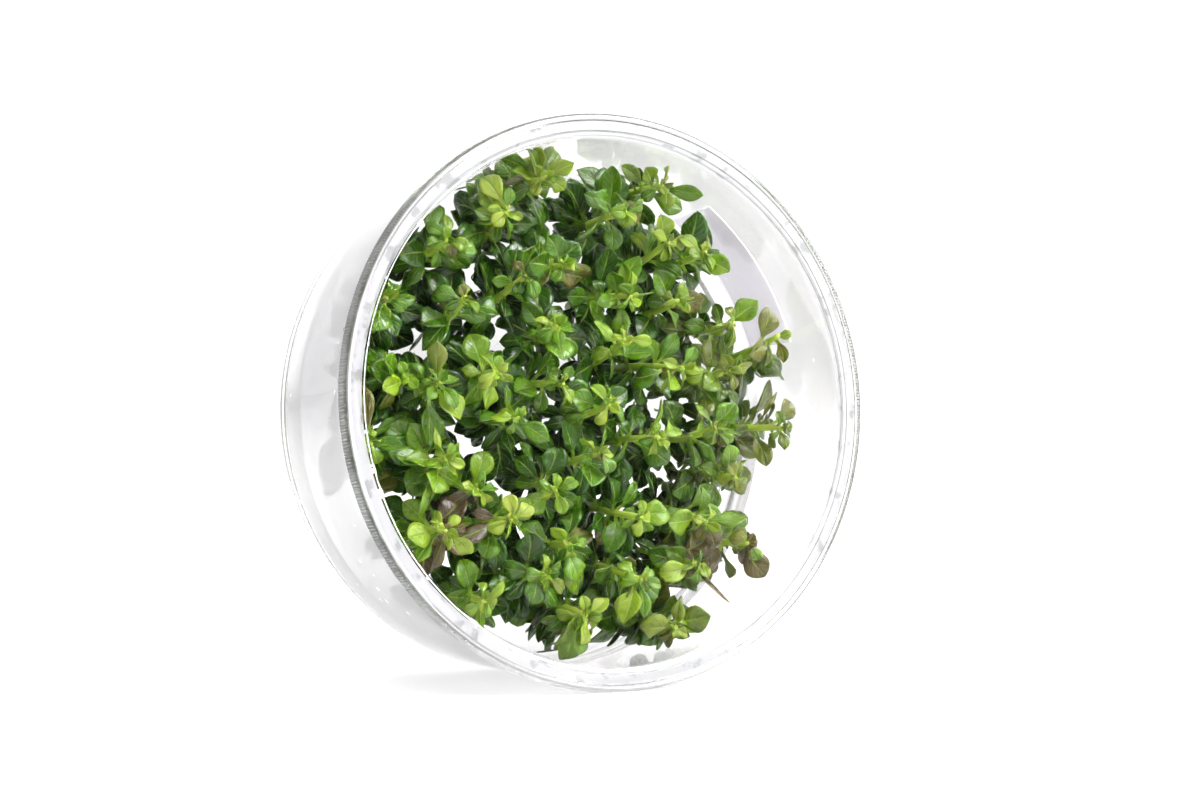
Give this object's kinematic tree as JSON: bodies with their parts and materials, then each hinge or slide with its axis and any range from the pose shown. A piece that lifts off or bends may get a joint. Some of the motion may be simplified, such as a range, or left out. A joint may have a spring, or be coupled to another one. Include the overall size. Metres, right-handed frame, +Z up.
{
  "type": "tissue culture plant cup",
  "caption": "Clear round culture cup with a press-on lid, lying on its side, full of small-leaved aquarium plant shoots on clear gel.",
  "frame": {"origin": "on the floor it lies on, under the middle of its bounding box", "axes": "+Z up; -Y towards the cup's mouth, which tips up by 7 degrees; +X to the right as seen from the mouth"},
  "size_m": [0.0996, 0.0514, 0.0989],
  "materials": {
    "clear_plastic": "clear polished moulding with a light haze on the wall",
    "lid_plastic": "clear polished moulding with a finely milled skirt",
    "clear_gel": "clear set gel",
    "label_paper": "translucent matt strip, bare",
    "leaf_old": "dark green leaves with a soft sheen",
    "leaf_mid": "mid green leaves with a soft sheen",
    "leaf_young": "yellow-green young leaves and stems"
  },
  "bodies": {
    "root": {"cup": "clear_plastic", "lid": "lid_plastic", "gel": "clear_gel", "label": "label_paper", "shoot_01": "leaf_mid", "shoot_02": "leaf_young", "shoot_03": "leaf_old", "shoot_04": "leaf_mid", "shoot_05": "leaf_young", "shoot_06": "leaf_old", "shoot_07": "leaf_mid", "shoot_08": "leaf_young", "shoot_09": "leaf_old", "shoot_10": "leaf_mid", "shoot_11": "leaf_young", "shoot_12": "leaf_old", "shoot_13": "leaf_mid", "shoot_14": "leaf_young", "shoot_15": "leaf_old", "shoot_16": "leaf_mid", "shoot_17": "leaf_young", "shoot_18": "leaf_old", "shoot_19": "leaf_mid", "shoot_20": "leaf_young", "shoot_21": "leaf_old", "shoot_22": "leaf_mid", "shoot_23": "leaf_young", "shoot_24": "leaf_old", "shoot_25": "leaf_mid", "shoot_26": "leaf_young", "shoot_27": "leaf_old", "shoot_28": "leaf_mid", "shoot_29": "leaf_young", "shoot_30": "leaf_old", "shoot_31": "leaf_mid", "shoot_32": "leaf_young", "shoot_33": "leaf_old", "shoot_34": "leaf_mid", "shoot_35": "leaf_young", "shoot_36": "leaf_old", "shoot_37": "leaf_mid", "shoot_38": "leaf_young", "shoot_39": "leaf_old", "shoot_40": "leaf_mid", "shoot_41": "leaf_young", "shoot_42": "leaf_old", "shoot_43": "leaf_mid", "shoot_44": "leaf_young", "shoot_45": "leaf_old", "shoot_46": "leaf_mid"}
  },
  "joints": []
}
